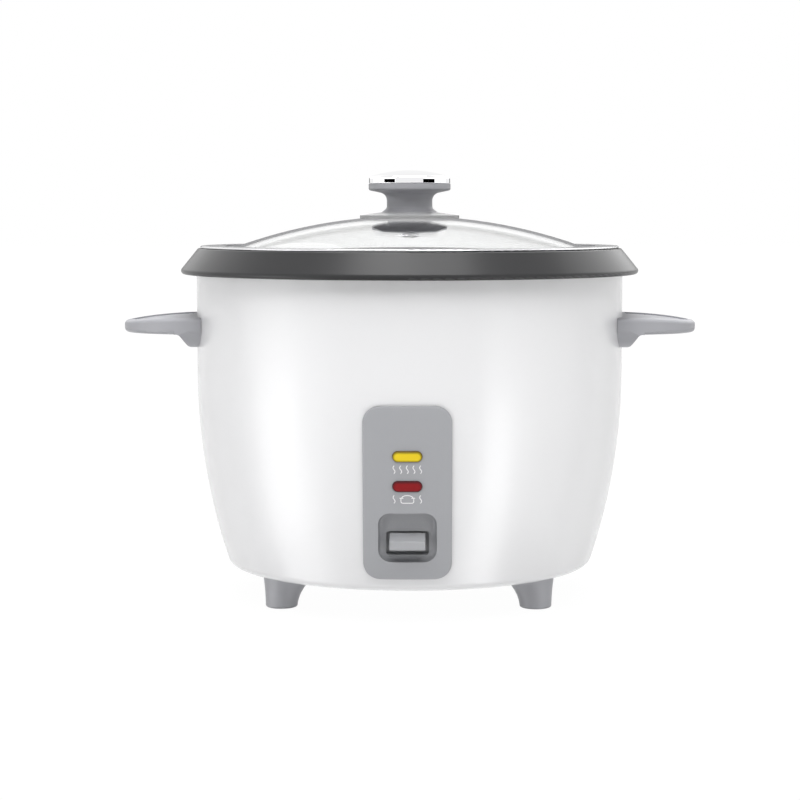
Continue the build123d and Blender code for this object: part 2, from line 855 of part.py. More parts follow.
def heating_plate():
    """Cast aluminium plate with its element ring and three screw bosses underneath."""
    bore = plate_bore_radius
    plate = turned(
        (bore, plate_bottom),
        (plate_radius, plate_bottom),
        (plate_radius, plate_top, plate_edge_radius),
        (bore, plate_top),
    )
    inner = element_radius - element_width / 2
    outer = element_radius + element_width / 2
    plate += turned(
        (inner, element_bottom, plate_edge_radius),
        (outer, element_bottom, plate_edge_radius),
        (outer, plate_bottom),
        (inner, plate_bottom),
    )
    for boss in at_posts(post_radius, element_bottom, plate_bottom):
        plate += boss
    for hole in at_posts(plate_screw_radius, element_bottom, element_bottom + plate_screw_grip):
        plate -= hole
    return plate


def plate_posts():
    """Three tubes that hold the plate above the liner's floor."""
    outsides = at_posts(post_radius, liner_floor_top, element_bottom)
    bores = at_posts(plate_screw_radius, liner_floor_top, element_bottom)
    return [outside - bore for outside, bore in zip(outsides, bores)]


def plate_screws():
    """Three screws from under the liner, through the posts, into the plate."""
    heads = at_posts(washer_head_radius, liner_floor - screw_head_height, liner_floor)
    shanks = at_posts(plate_screw_radius, liner_floor, element_bottom + plate_screw_grip)
    return [head + shank for head, shank in zip(heads, shanks)]


def heater_terminals():
    """Two pins down from the element ring."""
    low = element_bottom - terminal_length
    return [upright(terminal_radius, low, element_bottom, *terminal_place(side)) for side in (-1, 1)]


def terminal_bushes():
    """Ceramic sleeves that insulate the pins where they pass through the liner."""
    low = liner_floor - bush_drop
    outer = terminal_radius + bush_wall
    return [
        upright(outer, low, element_bottom, *terminal_place(side))
        - upright(terminal_radius, low, element_bottom, *terminal_place(side))
        for side in (-1, 1)
    ]


def sensor_guide():
    """Cup under the plate that the sensor cap slides in."""
    flange_bottom = plate_bottom - guide_wall
    floor_hole = magnet_stem_radius + guide_clearance
    return turned(
        (floor_hole, guide_bottom),
        (guide_radius, guide_bottom),
        (guide_radius, flange_bottom),
        (guide_radius + guide_flange_width, flange_bottom),
        (guide_radius + guide_flange_width, plate_bottom),
        (guide_inner_radius, plate_bottom),
        (guide_inner_radius, guide_bottom + guide_wall),
        (floor_hole, guide_bottom + guide_wall),
    )


def sensor_cap():
    """Sprung aluminium cap that meets the pot's bottom."""
    return turned(
        (0, cap_top),
        (cap_radius, cap_top, plate_edge_radius),
        (cap_radius, cap_bottom + cap_wall),
        (cap_flange_radius, cap_bottom + cap_wall),
        (cap_flange_radius, cap_bottom),
        (cap_inner_radius, cap_bottom),
        (cap_inner_radius, cap_inner_top),
        (0, cap_inner_top),
    )


def sensor_ferrite():
    """Temperature-sensitive ferrite disc under the cap's top."""
    return upright(ferrite_radius, ferrite_bottom, cap_inner_top)


def coil(radius, turns, low, high):
    """Open spring of round wire between two heights."""
    pitch = (high - low - spring_wire) / turns
    path = Helix(pitch, pitch * turns, radius)
    start = Plane(origin=path @ 0, z_dir=path % 0)
    return Pos(0, 0, low + spring_wire / 2) * sweep(start * Circle(spring_wire / 2), path=path)


def sensor_spring():
    """Spring between the guide's floor and the cap's flange."""
    radius = cap_inner_radius + (cap_flange_radius - cap_inner_radius) / 2
    return coil(radius, sensor_spring_turns, guide_bottom + guide_wall, cap_bottom)


def magnet_spring():
    """Spring that holds the magnet down, away from the ferrite."""
    radius = cap_inner_radius - spring_gap - spring_wire / 2
    return coil(radius, magnet_spring_turns, magnet_bottom, cap_inner_top)


def thermostat_magnet():
    """Disc magnet on its carrier."""
    return upright(magnet_radius, magnet_bottom, magnet_top)


def magnet_stem():
    """Steel carrier flange, stem and the collar that the lever lifts."""
    stem = upright(cap_inner_radius - spring_gap, magnet_flange_bottom, magnet_bottom)
    stem += upright(magnet_stem_radius, magnet_flange_bottom - magnet_stem_length, magnet_flange_bottom)
    collar_bottom = lever_height + lever_thickness / 2 + collar_gap
    return stem + upright(collar_radius, collar_bottom, collar_bottom + collar_thickness)


# ---- Side handles ----------------------------------------------------------------------------

handle_root = body_radius - handle_root_depth


def handle_plan(inset, low, high):
    """Half-ellipse prism of the right-hand grip, its outline moved inward by an inset."""
    half = Ellipse(handle_tip - handle_root - inset, handle_half_width - inset)
    half &= Pos(handle_tip / 2, 0) * Rectangle(handle_tip, 2 * handle_half_width)
    return Pos(handle_root, 0, low) * extrude(half, amount=high - low)


def under_handle_top(depth):
    """Space below the grip's gently falling top, or a depth below it."""
    radius = handle_reach ** 2 / (2 * handle_tip_drop)
    barrel = Cylinder(radius - depth, 2 * body_radius, rotation=(90, 0, 0))
    return Pos(body_radius, 0, handle_top - radius) * barrel


def side_handle(side):
    """Moulded grip, hollow underneath, on a block that fits the drum: side -1 left, 1 right."""
    grip = handle_plan(0, handle_bottom, handle_top) & under_handle_top(0)
    outer_edges = grip.faces().sort_by(Axis.X)[-1].edges()
    grip = fillet(outer_edges.filter_by(GeomType.LINE, reverse=True), handle_edge_radius)
    root_low = handle_top - handle_root_height
    root_front = body_radius + handle_root_thickness
    root_back = root_front + handle_root_slope
    blend_end = root_back + handle_root_blend
    sides = outline(
        (-handle_half_width, handle_top),
        (-handle_half_width, root_low, handle_root_corner),
        (handle_half_width, root_low, handle_root_corner),
        (handle_half_width, handle_top),
    )
    slope = outline(
        (handle_root, handle_top),
        (blend_end, handle_top),
        (blend_end, handle_bottom),
        (root_back, handle_bottom, handle_root_blend),
        (root_front, root_low, handle_root_radius),
        (handle_root, root_low),
    )
    blank = handle_plan(0, root_low, handle_top) & under_handle_top(0)
    rim = blank.faces().sort_by(Axis.X)[-1].edges().filter_by(GeomType.LINE, reverse=True)
    root = fillet(rim.sort_by(Axis.Z)[-1], handle_edge_radius)
    root &= extrude(Plane.XZ * slope, amount=2 * handle_half_width, both=True)
    root &= Pos(handle_root, 0, 0) * extrude(Plane.YZ * sides, amount=handle_tip - handle_root)
    beyond = (2 * handle_tip, 2 * handle_half_width, 2 * handle_top)
    hollow = handle_plan(handle_wall, root_low, handle_top) & under_handle_top(handle_wall)
    hollow &= block((blend_end + handle_wall, -2 * handle_half_width, 0), beyond)
    dish = handle_plan(handle_dish_border, root_low, 2 * handle_top) - under_handle_top(handle_dish_depth)
    dish &= block((body_radius + handle_dish_border, -2 * handle_half_width, 0), beyond)
    handle = grip + root - hollow - dish - body_outer
    for plane in handle_screw_planes(1):
        handle -= bar_on(plane, screw_radius, -washer_head_radius, handle_screw_length)
    return handle if side > 0 else mirror(handle, about=Plane.YZ)


def handle_screws():
    """Two screws a side, from inside the drum into the handles."""
    screws = []
    for plane in handle_screw_planes(-1) + handle_screw_planes(1):
        low = -shell_wall - screw_head_height
        head = bar_on(plane, washer_head_radius, low, 0) & body_inner
        screws.append(head + bar_on(plane, screw_radius, low, handle_screw_length))
    return screws


# ---- Control panel, lenses and lamps ---------------------------------------------------------

def panel_prism():
    """Rounded upright prism of the panel's outline."""
    face = RectangleRounded(panel_width, panel_height, panel_corner_radius)
    return slab_on(Plane.XZ, Pos(0, panel_mid) * face, 0, body_radius + panel_width)


def lens_plug(height, border, front):
    """Stadium prism at a lens's height, from the lamps' plane forward to a distance."""
    face = SlotOverall(lens_width + 2 * border, lens_height + 2 * border)
    return slab_on(Plane.XZ, Pos(0, height) * face, -lamp_front, front)


def control_panel():
    """Raised panel on the drum's front with a dished pocket for the lever key."""
    lifted = body_solid(panel_rise)
    panel = (lifted & panel_prism()) - body_outer
    front_edges = panel.faces().sort_by(Axis.Y)[0].edges()
    panel = fillet(front_edges, panel_edge_radius)
    pocket_face = RectangleRounded(
        recess_width + 2 * recess_wall,
        recess_height + 2 * recess_wall,
        recess_corner_radius + recess_wall,
    )
    pocket = slab_on(recess_plane, pocket_face, recess_floor - recess_wall, panel_rise) & body_outer
    panel += pocket
    dish_face = RectangleRounded(recess_width, recess_height, recess_corner_radius)
    dish = slab_on(recess_plane, dish_face, recess_floor, 2 * panel_rise)
    floor_edges = dish.faces().sort_by(Axis.Y)[-1].edges()
    panel -= fillet(floor_edges, recess_dish_radius)
    slot = Pos(0, -slot_drop) * RectangleRounded(slot_width, slot_height, slot_corner_radius)
    panel -= slab_on(recess_plane, slot, recess_floor - 2 * recess_wall, 0)
    for height in lens_heights.values():
        panel -= lens_plug(height, lens_clearance, body_radius + panel_width)
    for plane in panel_screw_planes:
        panel += bar_on(plane, panel_boss_radius, -shell_wall - panel_boss_stand, panel_rise / 2)
        panel -= bar_on(plane, screw_radius, -shell_wall - panel_boss_stand, panel_rise / 2)
    return panel


def panel_screws():
    """Washer-headed screws from inside the drum into the panel's two bosses."""
    screws = []
    for plane in panel_screw_planes:
        seat = -shell_wall - panel_boss_stand
        cup = bar_on(plane, washer_head_radius, seat - screw_head_height, 0) & body_inner
        cup -= bar_on(plane, panel_boss_radius, seat, 0)
        screws.append(cup + bar_on(plane, screw_radius, seat, panel_rise / 2))
    return screws


def indicator_lens(height):
    """Coloured lens through the panel, with a flange that rests behind it."""
    front = body_solid(panel_rise + lens_proud) & lens_plug(height, 0, body_radius + panel_width)
    front = fillet(front.faces().sort_by(Axis.Y)[0].edges(), lens_edge_radius / 2)
    return front + (lens_plug(height, lens_flange_border, body_radius) & body_outer)


def lamp_places():
    """Centres of the two lamps, which lie against the lenses' backs."""
    return [(lamp_front + lamp_radius, height) for height in lens_heights.values()]


def lamp_holder():
    """Moulded holder on the drum's inner wall that closes the lamp opening."""
    border = lens_flange_border + lamp_window_border + lamp_holder_border
    half = lens_width / 2 + border
    low = lens_heights["cook_lens"] - lens_height / 2 - border
    high = lens_heights["warm_lens"] + lens_height / 2 + border
    back = lamp_front + 2 * lamp_radius + lamp_wall
    holder = block((-half, -body_radius, low), (half, back, high)) & body_inner
    holder -= lamp_opening()
    for y, z in lamp_places():
        bore = Cylinder(lamp_radius, lamp_length, rotation=(0, 90, 0))
        holder -= Pos(0, y, z) * bore
        reach = y - lamp_front
        holder -= Pos(0, y - reach / 2, z) * Box(lamp_length, reach, 2 * lamp_radius)
    return holder


def indicator_lamps():
    """Two small lamps in the holder."""
    lamp = Cylinder(lamp_radius, lamp_length, rotation=(0, 90, 0))
    lamp = fillet(lamp.edges().filter_by(GeomType.CIRCLE), lamp_radius / 2)
    return [Pos(0, y, z) * lamp for y, z in lamp_places()]


# ---- Cook lever, its bracket and the switch --------------------------------------------------

key_back = key_front + key_depth
lever_low = lever_height - lever_thickness / 2
lever_high = lever_height + lever_thickness / 2
cheek_inner = lever_width / 2 + bracket_gap
cheek_outer = cheek_inner + bracket_sheet
bracket_half = cheek_outer + bracket_border
bracket_top = cover_top + bracket_sheet
switch_middle = -(pivot_depth + switch_lever_arm)
switch_top = bracket_top + switch_height
bracket_front = switch_middle - switch_depth / 2
bracket_back = -pivot_depth + bracket_cheek_length / 2
plunger_travel = switch_lever_arm * math.tan(math.radians(lever_travel_deg))
tab_height = bracket_top + switch_height / 2


def across(radius, half_length, y, z):
    """Round bar along X, centred on the lever."""
    return Pos(0, y, z) * Cylinder(radius, 2 * half_length, rotation=(0, 90, 0))


def cook_button():
    """Moulded key with a scooped upper face."""
    top = lever_height + key_height / 2
    low = lever_height - key_height / 2
    slope_start = (key_front + key_scoop_depth, top)
    crest = (key_front, top - key_scoop_drop)
    scoop = SagittaArc(slope_start, crest, key_scoop_sag)
    rest = Polyline(crest, (key_front, low), (key_back, low), (key_back, top), slope_start)
    face = Plane.YZ * make_face([*scoop.edges(), *rest.edges()])
    key = extrude(face, amount=key_width / 2, both=True)
    front_edges = key.edges().filter_by(lambda edge: edge.center().Y < key_back - key_edge_radius)
    key = fillet(front_edges, key_edge_radius)
    half = lever_width / 2
    socket_low = (-half, key_back - key_socket_depth, lever_low)
    return key - block(socket_low, (half, key_back, lever_high))


def key_shield():
    """Dust shield round the key, behind the slot, that hides the slot over the key's travel."""
    drop = math.tan(math.radians(lever_travel_deg)) * (-pivot_depth - key_front)
    face = RectangleRounded(
        slot_width + 2 * shield_border,
        slot_height + 2 * shield_border + drop,
        slot_corner_radius,
    )
    front = recess_floor - recess_wall - shield_gap
    plate = slab_on(recess_plane, Pos(0, drop / 2 - slot_drop) * face, front - shield_thickness, front)
    half = key_width / 2 + shield_clearance
    low = lever_height - key_height / 2 - shield_clearance
    high = lever_height + key_height / 2 + shield_clearance
    return plate - block((-half, key_front, low), (half, key_back, high))


def lever_arm():
    """Pressed steel arm on a pivot barrel, forked round the magnet's stem."""
    half = lever_width / 2
    arm = block((-half, key_back - key_socket_depth, lever_low), (half, fork_overhang, lever_high))
    barrel_radius = pivot_pin_radius + pivot_clearance + pivot_barrel_wall
    arm += across(barrel_radius, half, -pivot_depth, lever_height)
    arm -= across(pivot_pin_radius + pivot_clearance, half, -pivot_depth, lever_height)
    fork = magnet_stem_radius + fork_clearance
    arm -= upright(fork, lever_low, lever_high)
    return arm - block((-fork, 0, lever_low), (fork, fork_overhang, lever_high))


def bracket_screw_places():
    """Places of the four screws that hold the lever bracket down."""
    x = cheek_outer + bracket_screw_inset
    rear = bracket_back - bracket_screw_inset / 2
    front = switch_middle + switch_depth / 2 + bracket_screw_inset / 2
    return [(side * x, y) for side in (-1, 1) for y in (front, rear)]


def lever_bracket():
    """Folded steel bracket on the base cover: base plate and two cheeks for the pivot pin."""
    bracket = block((-bracket_half, bracket_front, cover_top), (bracket_half, bracket_back, bracket_top))
    cheek_high = lever_height + bracket_top_rise
    foot = bracket_cheek_length / 2
    cheek = outline(
        (-pivot_depth - foot, cover_top),
        (-pivot_depth + foot, cover_top),
        (-pivot_depth + bracket_top_rise, cheek_high, bracket_top_rise),
        (-pivot_depth - bracket_top_rise, cheek_high, bracket_top_rise),
    )
    cheek = extrude(Plane.YZ * cheek, amount=bracket_sheet)
    for x in (cheek_inner, -cheek_outer):
        bracket += Pos(x, 0, 0) * cheek
    bracket -= across(pivot_pin_radius, 2 * cheek_outer, -pivot_depth, lever_height)
    for x, y in bracket_screw_places():
        bracket -= upright(screw_radius, cover_top, bracket_top, x, y)
    return bracket


def bracket_screws():
    """Four screws through the bracket into the base cover."""
    screws = []
    for x, y in bracket_screw_places():
        head = upright(screw_head_radius, bracket_top, bracket_top + screw_head_height, x, y)
        screws.append(head + upright(screw_radius, floor_top, bracket_top, x, y))
    return screws


def lever_pivot_pin():
    """Headed pin through both cheeks."""
    pin = across(pivot_pin_radius, cheek_outer, -pivot_depth, lever_height)
    for side in (-1, 1):
        head = across(screw_head_radius, bracket_sheet / 2, -pivot_depth, lever_height)
        pin += Pos(side * (cheek_outer + bracket_sheet / 2), 0, 0) * head
    return pin


def switch_block():
    """Changeover switch body under the lever."""
    size = (switch_width, switch_depth, switch_height)
    body = Pos(0, switch_middle, bracket_top + switch_height / 2) * Box(*size)
    body = fillet(body.edges().filter_by(Axis.Z), key_edge_radius)
    bore_radius = plunger_radius + plunger_clearance
    return body - upright(bore_radius, switch_top - plunger_bore_depth, switch_top, 0, switch_middle)


def switch_plunger():
    """Plunger that the lever presses."""
    low = switch_top - plunger_bore_depth + 2 * plunger_travel
    plunger = upright(plunger_radius, low, lever_low - running_gap, 0, switch_middle)
    return fillet(plunger.edges().sort_by(Axis.Z)[-1], plunger_radius / 4)


def switch_terminals():
    """Tabs on both sides of the switch."""
    half = switch_width / 2
    tabs = []
    for side in (-1, 1):
        for y in (switch_middle - tab_pitch, switch_middle + tab_pitch):
            tab = Box(tab_length, tab_width, tab_thickness)
            tabs.append(Pos(side * (half + tab_length / 2), y, tab_height) * tab)
    return tabs


# ---- Power inlet -----------------------------------------------------------------------------

inlet_pins_at = {
    "live": (inlet_pin_spacing / 2, -inlet_pin_drop),
    "neutral": (-inlet_pin_spacing / 2, -inlet_pin_drop),
    "earth": (0, inlet_earth_rise),
}


def inlet_blade(name):
    """One blade, from the tail inside the drum to its tip in the socket."""
    x, y = inlet_pins_at[name]
    blade = Pos(x, y) * Rectangle(inlet_pin_width, inlet_pin_height)
    tail_end = inlet_floor - inlet_wall - inlet_tail_length
    return slab_on(inlet_plane, blade, tail_end, inlet_floor + inlet_pin_length)


def inlet_socket():
    """Moulded inlet with a flange that fits the drum's back."""
    flange_face = RectangleRounded(inlet_flange_width, inlet_flange_height, inlet_flange_corner)
    socket = slab_on(inlet_plane, flange_face, -inlet_depth, inlet_depth) & body_solid(inlet_rise)
    socket -= body_outer
    housing_face = RectangleRounded(
        inlet_mouth_width + 2 * inlet_wall,
        inlet_mouth_height + 2 * inlet_wall,
        inlet_mouth_corner + inlet_wall,
    )
    socket += slab_on(inlet_plane, housing_face, inlet_floor - inlet_wall, 0)
    mouth = RectangleRounded(inlet_mouth_width, inlet_mouth_height, inlet_mouth_corner)
    socket -= slab_on(inlet_plane, mouth, inlet_floor, inlet_depth)
    for name in inlet_pins_at:
        socket -= inlet_blade(name)
    seat = inlet_rise - inlet_head_sink
    for plane in inlet_screw_planes:
        socket -= bar_on(plane, screw_radius, -inlet_rise, inlet_depth)
        socket -= bar_on(plane, screw_head_radius + screw_clearance, seat, inlet_depth)
    return socket


def inlet_screws():
    """Two screws that hold the inlet to the drum."""
    screws = []
    for plane in inlet_screw_planes:
        seat = inlet_rise - inlet_head_sink
        head = bar_on(plane, screw_head_radius, seat, seat + screw_head_height)
        head = fillet(head.faces().sort_by(Axis.Y)[-1].edges(), screw_head_height / 4)
        screws.append(head + bar_on(plane, screw_radius, -handle_screw_length, seat))
    return screws


# ---- Leads, thermal fuse and keep-warm band --------------------------------------------------

fuse_height = liner_floor - fuse_radius


def thermal_fuse():
    """Thermal fuse against the underside of the liner's floor."""
    fuse = Pos(0, -fuse_offset, fuse_height) * Cylinder(fuse_radius, fuse_length, rotation=(0, 90, 0))
    return fillet(fuse.edges().filter_by(GeomType.CIRCLE), fuse_radius / 4)


def fuse_clip():
    """Strap that holds the fuse against the liner."""
    outer = fuse_radius + fuse_clip_sheet
    foot = outer + fuse_clip_foot
    strap = Pos(0, fuse_height) * Circle(outer)
    strap += Pos(0, fuse_height + fuse_radius / 2) * Rectangle(2 * outer, fuse_radius)
    strap += Pos(0, liner_floor - fuse_clip_sheet / 2) * Rectangle(2 * foot, fuse_clip_sheet)
    strap -= Pos(0, fuse_height) * Circle(fuse_radius)
    strap -= Pos(0, fuse_height + fuse_radius / 2) * Rectangle(2 * fuse_radius, fuse_radius)
    clip = extrude(Plane.YZ * strap, amount=fuse_clip_width / 2, both=True)
    return Pos(0, -fuse_offset, 0) * (clip & block((-foot, -foot, 0), (foot, foot, liner_floor)))


def keep_warm_band():
    """Flat heater strip round the liner's wall."""
    low = liner_floor + warm_band_rise
    high = low + warm_band_height
    low_radius = liner_outer_radius_at(low) + warm_band_gap
    high_radius = liner_outer_radius_at(high) + warm_band_gap
    return turned(
        (low_radius, low),
        (low_radius + warm_band_thickness, low),
        (high_radius + warm_band_thickness, high),
        (high_radius, high),
    )


def lead(*points):
    """Insulated wire along straight runs with rounded bends."""
    path = FilletPolyline(*points, radius=lead_bend_radius)
    start = Plane(origin=path @ 0, z_dir=path % 0)
    return sweep(start * Circle(lead_radius), path=path)


def tail_points(name):
    """Where a lead leaves its inlet blade, and a point straight behind it."""
    x, y = inlet_pins_at[name]
    tail_end = inlet_floor - inlet_wall - inlet_tail_length
    ends = [tail_end, tail_end - 2 * lead_bend_radius]
    return [inlet_plane.from_local_coords(Vector(x, y, end)) for end in ends]


tab_tip = switch_width / 2 + tab_length
terminal_low = element_bottom - terminal_length
lead_level = terminal_low - 2 * lead_bend_radius


def live_lead():
    """Lead from the live blade to the switch."""
    start, behind = tail_points("live")
    side = -lead_side
    return lead(
        start,
        behind,
        (side, behind.Y, tab_height),
        (side, switch_middle + tab_pitch, tab_height),
        (-tab_tip, switch_middle + tab_pitch, tab_height),
    )


def neutral_lead():
    """Lead from the neutral blade to the right-hand heater terminal."""
    start, behind = tail_points("neutral")
    x, y = terminal_place(1)
    return lead(start, behind, (x, behind.Y, lead_level), (x, y, lead_level), (x, y, terminal_low))


def earth_lead():
    """Lead from the earth blade down to the base cover."""
    start, behind = tail_points("earth")
    return lead(start, behind, (0, behind.Y, cover_top))


def heater_lead():
    """Lead from the switch to the thermal fuse."""
    y = switch_middle + tab_pitch
    side = fuse_lead_side
    return lead(
        (tab_tip, y, tab_height),
        (side, y, tab_height),
        (side, -fuse_offset, tab_height),
        (side, -fuse_offset, fuse_height),
        (fuse_length / 2, -fuse_offset, fuse_height),
    )


def fuse_lead():
    """Lead from the thermal fuse to the left-hand heater terminal."""
    x, y = terminal_place(-1)
    side = -fuse_lead_side
    return lead(
        (-fuse_length / 2, -fuse_offset, fuse_height),
        (side, -fuse_offset, fuse_height),
        (side, -fuse_offset, lead_level),
        (side, y, lead_level),
        (x, y, lead_level),
        (x, y, terminal_low),
    )


# ---- Assembly --------------------------------------------------------------------------------

feet = at_feet(foot_form())
pieces = {
    "lid_glass": lid_glass(),
    "lid_rim_band": lid_rim_band(),
    "vent_eyelet": vent_eyelet(),
    "knob_base": knob_base(),
    "lid_knob": lid_knob(),
    "knob_crown": knob_crown(),
    "knob_gasket": knob_gasket(),
    "knob_washer": knob_washer(),
    "knob_screw": knob_screw(),
    "inner_pot": inner_pot(),
    "outer_shell": outer_shell(),
    "inner_liner": inner_liner(),
    "base_cover": base_cover(),
    "foot_front_left": feet["front_left"],
    "foot_front_right": feet["front_right"],
    "foot_rear_left": feet["rear_left"],
    "foot_rear_right": feet["rear_right"],
    "foot_pads": list(at_feet(foot_pad_form()).values()),
    "foot_screws": list(at_feet(foot_screw_form()).values()),
    "handle_left": side_handle(-1),
    "handle_right": side_handle(1),
    "handle_screws": handle_screws(),
    "control_panel": control_panel(),
    "panel_screws": panel_screws(),
    "warm_lens": indicator_lens(lens_heights["warm_lens"]),
    "cook_lens": indicator_lens(lens_heights["cook_lens"]),
    "lamp_holder": lamp_holder(),
    "indicator_lamps": indicator_lamps(),
    "heating_plate": heating_plate(),
    "plate_posts": plate_posts(),
    "plate_screws": plate_screws(),
    "heater_terminals": heater_terminals(),
    "terminal_bushes": terminal_bushes(),
    "sensor_guide": sensor_guide(),
    "sensor_cap": sensor_cap(),
    "sensor_ferrite": sensor_ferrite(),
    "sensor_spring": sensor_spring(),
    "thermostat_magnet": thermostat_magnet(),
    "magnet_stem": magnet_stem(),
    "magnet_spring": magnet_spring(),
    "cook_button": cook_button(),
    "key_shield": key_shield(),
    "lever_arm": lever_arm(),
    "lever_bracket": lever_bracket(),
    "bracket_screws": bracket_screws(),
    "lever_pivot_pin": lever_pivot_pin(),
    "switch_block": switch_block(),
    "switch_plunger": switch_plunger(),
    "switch_terminals": switch_terminals(),
    "inlet_socket": inlet_socket(),
    "inlet_pins": [inlet_blade(name) for name in inlet_pins_at],
    "inlet_screws": inlet_screws(),
    "thermal_fuse": thermal_fuse(),
    "fuse_clip": fuse_clip(),
    "keep_warm_band": keep_warm_band(),
    "live_lead": live_lead(),
    "neutral_lead": neutral_lead(),
    "earth_lead": earth_lead(),
    "heater_lead": heater_lead(),
    "fuse_lead": fuse_lead(),
}

os.makedirs("parts", exist_ok=True)
for name, piece in pieces.items():
    solid = Compound(children=piece) if isinstance(piece, list) else piece
    export_step(solid, f"parts/{name}.step")
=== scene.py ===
import json
import math
from typing import NamedTuple

import bmesh
import bpy
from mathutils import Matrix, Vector
from mathutils.bvhtree import BVHTree


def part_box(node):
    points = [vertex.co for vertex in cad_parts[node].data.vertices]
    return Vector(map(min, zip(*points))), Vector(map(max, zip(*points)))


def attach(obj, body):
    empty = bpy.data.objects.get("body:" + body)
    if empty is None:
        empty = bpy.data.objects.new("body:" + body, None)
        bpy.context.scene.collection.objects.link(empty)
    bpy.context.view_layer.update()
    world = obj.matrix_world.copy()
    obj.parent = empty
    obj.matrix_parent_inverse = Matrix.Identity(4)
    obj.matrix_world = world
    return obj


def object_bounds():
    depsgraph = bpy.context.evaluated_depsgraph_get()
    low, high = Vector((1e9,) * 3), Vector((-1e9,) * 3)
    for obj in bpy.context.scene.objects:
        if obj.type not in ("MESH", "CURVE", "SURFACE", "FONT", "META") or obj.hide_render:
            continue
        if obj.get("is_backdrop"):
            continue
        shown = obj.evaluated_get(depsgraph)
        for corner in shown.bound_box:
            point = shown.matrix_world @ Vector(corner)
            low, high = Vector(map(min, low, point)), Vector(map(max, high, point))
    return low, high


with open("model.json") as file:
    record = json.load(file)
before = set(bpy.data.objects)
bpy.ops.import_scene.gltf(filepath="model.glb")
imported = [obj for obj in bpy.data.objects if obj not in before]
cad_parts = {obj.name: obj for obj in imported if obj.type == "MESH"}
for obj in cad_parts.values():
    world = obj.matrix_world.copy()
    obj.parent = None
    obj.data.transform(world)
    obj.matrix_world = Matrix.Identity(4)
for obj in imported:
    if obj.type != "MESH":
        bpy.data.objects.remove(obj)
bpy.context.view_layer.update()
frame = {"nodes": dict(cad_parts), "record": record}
nodes = frame["nodes"]
scene = bpy.context.scene
scene.view_settings.view_transform = "Standard"


# ---- Values: lengths in metres, angles in degrees from the front ------------------------------

MM = 0.001
MICRON = 0.000001

# Camera: lens and sensor in millimetres, shift as a share of the frame.
CAMERA_AZIMUTH = 0.57
CAMERA_DISTANCE = 1.2635
CAMERA_HEIGHT = 0.2340
CAMERA_PITCH = 5.282
CAMERA_LENS = 92.525
CAMERA_SENSOR = 36.0
CAMERA_SHIFT = -0.0120
CAMERA_REACH = 50.0

# Strength of the white surroundings for each kind of ray.
SEEN_WORLD = 1.0
THROUGH_WORLD = 1.3
FILL_WORLD = 0.04
GLOSS_WORLD = 0.95

# Tall softboxes level with the object: azimuth, watts.
STRIP_DISTANCE = 1.5
STRIP_SIZE = (0.8, 1.8)
STRIPS = ((-110.0, 0.7), (-80.0, 3.6), (-55.0, 3.8), (55.0, 2.8), (80.0, 2.8), (110.0, 1.2))

# Large softboxes: name, place, size, watts, whether reflections show them.
SOFTBOXES = (
    ("softbox_front", (0.0, -0.75, 1.15), (1.2, 0.8), 14.0, False),
    ("softbox_over", (0.0, 0.0, 1.45), (0.9, 0.9), 15.5, True),
)

# Softboxes that only reflections show: name, azimuth, elevation, size, radiance.
GLINT_DISTANCE = 1.5
GLINTS = (
    ("glint_left", -70.0, -26.0, (0.75, 1.3), 1.6),
    ("glint_right", 48.0, -28.0, (0.45, 1.2), 2.2),
    ("glint_front", -16.0, 72.0, (0.34, 0.34), 3.5),
    ("glint_rear_left", -140.0, 28.0, (1.3, 0.9), 0.42),
    ("glint_rear_right", 136.0, 30.0, (1.4, 1.0), 1.2),
)

# Dark cards that only reflections show: name, azimuth, width.
CARD_DISTANCE = 0.8
CARD_HEIGHT = 0.12
CARDS = (
    ("card_left", -58.0, 0.50),
    ("card_right", 57.0, 0.53),
    ("card_rear_left", -163.0, 0.20),
    ("card_rear_right", 163.0, 0.20),
)

FLOOR_RADIUS = 12.0
FLOOR_SIDES = 96
FLOOR_COLOR = (0.80, 0.80, 0.80)
FLOOR_ROUGHNESS = 0.9
FLOOR_GLOW = 1.02
# Faint contact shadow painted into the floor's glow, and how far it reaches.
PAINTED_CONTACT_SHADE = 0.97
CONTACT_REACH = 35 * MM

OCCLUSION_SAMPLES = 8
GRAIN_DETAIL = 3.0
MOTTLE_SCALE = 18.0
MOTTLE_DETAIL = 4.0

# Glass turns from clear to a painted grey edge shade between these shares of a grazing view.
FACING_BLEND = 0.5
EDGE_START = 0.84
EDGE_FULL = 0.90
GLASS_EDGE_SHADE = (0.23, 0.23, 0.235)
CLEAR_SPECULAR = 0.5

# Painted highlight and edge shade of the lenses: the lens's height, how far the highlight sits
# below the middle, and the share of the half height it fills.
LENS_HEIGHT = 6.2 * MM
LENS_HIGHLIGHT_DROP = 0.35 * MM
LENS_HIGHLIGHT_SHARE = 0.45

# Printed marks: shares are of the pot's half width, the brim's of half the mark's height.
PRINT_LIFT = 0.05 * MM
PRINT_WIDTH = 0.55 * MM
PRINT_START = Vector((0.0, -1.0, 0.0))
PRINT_WAY = Vector((0.0, 1.0, 0.0))
MARK_DROP = 7.4 * MM
MARK_HEIGHT = 4.4 * MM
MARK_PITCH = 3.7 * MM
WARM_LINES = (-2, -1, 0, 1, 2)
COOK_LINES = (-2, 2)
WAVE_WIDTH = 1.1 * MM
CURVE_STEPS = 16
POT_HALF_WIDTH = 4.2 * MM
POT_CORNER = 1.0 * MM
POT_WALL_SHARE = 0.85
POT_LID_SHARE = 0.75
POT_BRIM_SHARE = 0.3


class Finish(NamedTuple):
    """Look of a material: fine relief (grain), faint colour change (mottle), uneven roughness."""

    color: tuple
    roughness: float
    grain_scale: float
    grain_depth: float
    grain_strength: float
    mottle: float
    rough_spread: float
    sockets: tuple = ()


